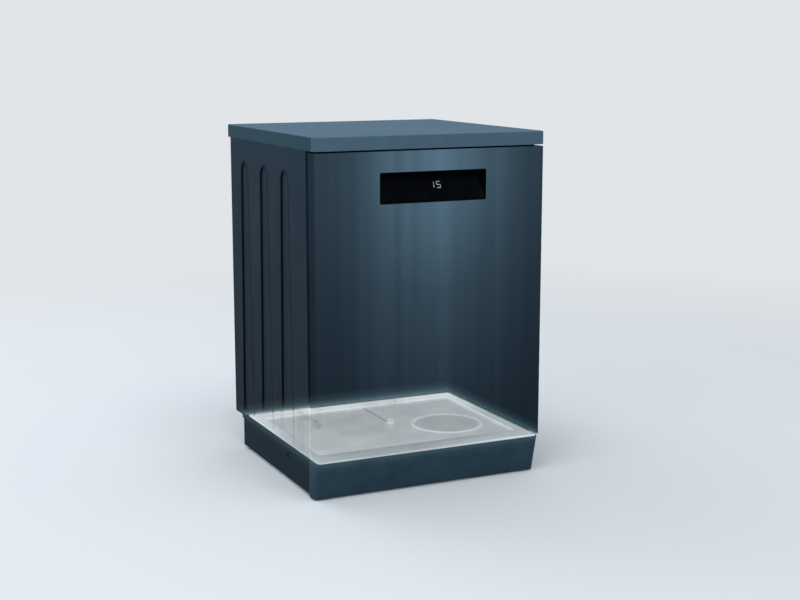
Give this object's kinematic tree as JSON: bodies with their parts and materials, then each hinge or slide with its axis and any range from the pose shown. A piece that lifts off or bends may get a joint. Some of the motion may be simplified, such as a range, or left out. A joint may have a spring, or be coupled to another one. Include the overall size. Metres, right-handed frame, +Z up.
{
  "type": "free-standing dishwasher",
  "caption": "Free-standing front-loading dishwasher with a drop-down door, window handle, leak tray in the base, wire racks, spray arms and levelling feet.",
  "frame": {"origin": "on the floor, under the middle of the cabinet's width and depth", "axes": "+Z up, -Y out of the door's front, +X to the right of someone facing the door"},
  "size_m": [0.598, 0.6, 0.85],
  "materials": {
    "dark_inox": "brushed stainless steel with a dark blue-grey tint",
    "side_paint": "satin dark blue-grey enamel on sheet steel",
    "worktop_laminate": "satin dark blue-grey laminate on chipboard",
    "trim_plastic": "satin moulded edge trim",
    "base_plastic": "fine-grained moulded polypropylene",
    "tray_plastic": "pale grey moulded polypropylene",
    "black_gloss": "polished black moulding",
    "black_glass": "smoked display window",
    "strip_plastic": "satin black moulding",
    "tub_steel": "bright rolled stainless steel",
    "galvanised_steel": "zinc-coated sheet and pins",
    "seal_rubber": "matt black lip seal",
    "inner_plastic": "dark grey moulded polypropylene",
    "grey_plastic": "light grey moulded polypropylene",
    "rack_coating": "grey nylon coating on steel wire",
    "board_green": "printed circuit laminate",
    "hose_rubber": "matt black hose"
  },
  "bodies": {
    "cabinet": {"worktop": "worktop_laminate", "worktop_trim": "trim_plastic", "side_panel_left": "side_paint", "side_panel_right": "side_paint", "rear_panel": "side_paint", "base_frame": "base_plastic", "base_tray": "tray_plastic", "kick_plate": "base_plastic", "tub": "tub_steel", "tub_seal": "seal_rubber", "latch_housing": "inner_plastic", "sump": "inner_plastic", "circulation_pump": "inner_plastic", "drain_pump": "inner_plastic", "softener_tank": "inner_plastic", "filter_plate": "tub_steel", "inlet_valve": "inner_plastic", "drain_outlet": "inner_plastic", "cable_gland": "inner_plastic", "base_hoses": "hose_rubber", "feed_tube": "inner_plastic", "ceiling_sprayer": "inner_plastic", "upper_rails": "tub_steel", "panel_screws": "galvanised_steel", "hinge_brackets": "galvanised_steel", "hinge_pins": "galvanised_steel", "door_springs": "galvanised_steel"},
    "door": {"door_skin": "dark_inox", "door_liner": "tub_steel", "handle_pocket": "black_gloss", "handle_grip": "black_gloss", "display_window": "black_glass", "control_strip": "strip_plastic", "control_board": "board_green", "door_strike": "galvanised_steel", "hinge_arms": "galvanised_steel", "dispenser_housing": "grey_plastic"},
    "button_power": {"button_power": "black_gloss"},
    "button_program": {"button_program": "black_gloss"},
    "button_half_load": {"button_half_load": "black_gloss"},
    "button_delay": {"button_delay": "black_gloss"},
    "button_start": {"button_start": "black_gloss"},
    "dispenser_lid": {"dispenser_lid": "strip_plastic"},
    "rinse_aid_cap": {"rinse_aid_cap": "strip_plastic"},
    "lower_basket": {"lower_basket": "rack_coating"},
    "front_wheels": {"front_wheels": "grey_plastic"},
    "rear_wheels": {"rear_wheels": "grey_plastic"},
    "folding_tines": {"folding_tines": "rack_coating"},
    "cutlery_basket": {"cutlery_basket": "grey_plastic"},
    "upper_basket": {"upper_basket": "rack_coating"},
    "cup_shelf": {"cup_shelf": "grey_plastic"},
    "upper_spray_arm": {"upper_spray_arm": "inner_plastic"},
    "lower_spray_arm": {"lower_spray_arm": "inner_plastic"},
    "coarse_filter": {"coarse_filter": "inner_plastic"},
    "salt_cap": {"salt_cap": "inner_plastic"},
    "leak_float": {"leak_float": "grey_plastic"},
    "foot_front_left": {"foot_front_left": "base_plastic"},
    "foot_front_right": {"foot_front_right": "base_plastic"},
    "foot_rear_left": {"foot_rear_left": "base_plastic"},
    "foot_rear_right": {"foot_rear_right": "base_plastic"}
  },
  "joints": [
    {"name": "door_hinge", "type": "hinge", "parent": "cabinet", "child": "door", "pos_m": [0, -0.286, 0.186], "axis": [1, 0, 0], "range_deg": [0, 90], "deforming": ["door_springs"]},
    {"name": "lower_rack_slide", "type": "slide", "parent": "cabinet", "child": "lower_basket", "axis": [0, -1, 0], "range_m": [0, 0.126]},
    {"name": "upper_rack_slide", "type": "slide", "parent": "cabinet", "child": "upper_basket", "axis": [0, -1, 0], "range_m": [0, 0.3145]},
    {"name": "front_wheel_roll", "type": "hinge", "parent": "lower_basket", "child": "front_wheels", "pos_m": [0, -0.175, 0.236], "axis": [1, 0, 0], "range_deg": [0, 451]},
    {"name": "rear_wheel_roll", "type": "hinge", "parent": "lower_basket", "child": "rear_wheels", "pos_m": [0, 0.175, 0.236], "axis": [1, 0, 0], "range_deg": [0, 451]},
    {"name": "folding_tines_fold", "type": "hinge", "parent": "lower_basket", "child": "folding_tines", "pos_m": [0, 0.06, 0.26455], "axis": [1, 0, 0], "range_deg": [0, 90]},
    {"name": "cutlery_basket_lift", "type": "slide", "parent": "lower_basket", "child": "cutlery_basket", "axis": [0, 0, 1], "range_m": [0, 0.06]},
    {"name": "cup_shelf_fold", "type": "hinge", "parent": "upper_basket", "child": "cup_shelf", "pos_m": [-0.236, 0, 0.646], "axis": [0, -1, 0], "range_deg": [0, 85]},
    {"name": "upper_arm_spin", "type": "hinge", "parent": "upper_basket", "child": "upper_spray_arm", "pos_m": [0, 0.002, 0.5015], "axis": [0, 0, 1], "continuous": true},
    {"name": "lower_arm_spin", "type": "hinge", "parent": "cabinet", "child": "lower_spray_arm", "pos_m": [0, 0.002, 0.232], "axis": [0, 0, 1], "continuous": true},
    {"name": "coarse_filter_twist", "type": "hinge", "parent": "cabinet", "child": "coarse_filter", "pos_m": [0.05, 0.09, 0.18], "axis": [0, 0, 1], "range_deg": [0, 60]},
    {"name": "salt_cap_turn", "type": "hinge", "parent": "cabinet", "child": "salt_cap", "pos_m": [-0.072, -0.05, 0.18], "axis": [0, 0, 1], "range_deg": [0, 360]},
    {"name": "leak_float_lift", "type": "slide", "parent": "cabinet", "child": "leak_float", "axis": [0, 0, 1], "range_m": [0, 0.012]},
    {"name": "dispenser_lid_slide", "type": "slide", "parent": "door", "child": "dispenser_lid", "axis": [1, 0, 0], "range_m": [0, 0.062]},
    {"name": "rinse_aid_cap_turn", "type": "hinge", "parent": "door", "child": "rinse_aid_cap", "pos_m": [0.064, -0.26, 0.54], "axis": [0, 1, 0], "range_deg": [0, 90]},
    {"name": "button_power_press", "type": "slide", "parent": "door", "child": "button_power", "axis": [0, 0, -1], "range_m": [0, 0.0015], "stiffness_N_per_m": 800},
    {"name": "button_program_press", "type": "slide", "parent": "door", "child": "button_program", "axis": [0, 0, -1], "range_m": [0, 0.0015], "stiffness_N_per_m": 800},
    {"name": "button_half_load_press", "type": "slide", "parent": "door", "child": "button_half_load", "axis": [0, 0, -1], "range_m": [0, 0.0015], "stiffness_N_per_m": 800},
    {"name": "button_delay_press", "type": "slide", "parent": "door", "child": "button_delay", "axis": [0, 0, -1], "range_m": [0, 0.0015], "stiffness_N_per_m": 800},
    {"name": "button_start_press", "type": "slide", "parent": "door", "child": "button_start", "axis": [0, 0, -1], "range_m": [0, 0.0015], "stiffness_N_per_m": 800},
    {"name": "foot_front_left_height", "type": "slide", "parent": "cabinet", "child": "foot_front_left", "axis": [0, 0, -1], "range_m": [0, 0.03]},
    {"name": "foot_front_right_height", "type": "slide", "parent": "cabinet", "child": "foot_front_right", "axis": [0, 0, -1], "range_m": [0, 0.03]},
    {"name": "foot_rear_left_height", "type": "slide", "parent": "cabinet", "child": "foot_rear_left", "axis": [0, 0, -1], "range_m": [0, 0.03]},
    {"name": "foot_rear_right_height", "type": "slide", "parent": "cabinet", "child": "foot_rear_right", "axis": [0, 0, -1], "range_m": [0, 0.03]}
  ],
  "couplings": [
    {"joint": "lower_rack_slide", "follows": "door_hinge", "m_per_rad": 0.08},
    {"joint": "upper_rack_slide", "follows": "door_hinge", "m_per_rad": 0.2},
    {"joint": "front_wheel_roll", "follows": "door_hinge", "ratio": 5},
    {"joint": "rear_wheel_roll", "follows": "door_hinge", "ratio": 5}
  ]
}
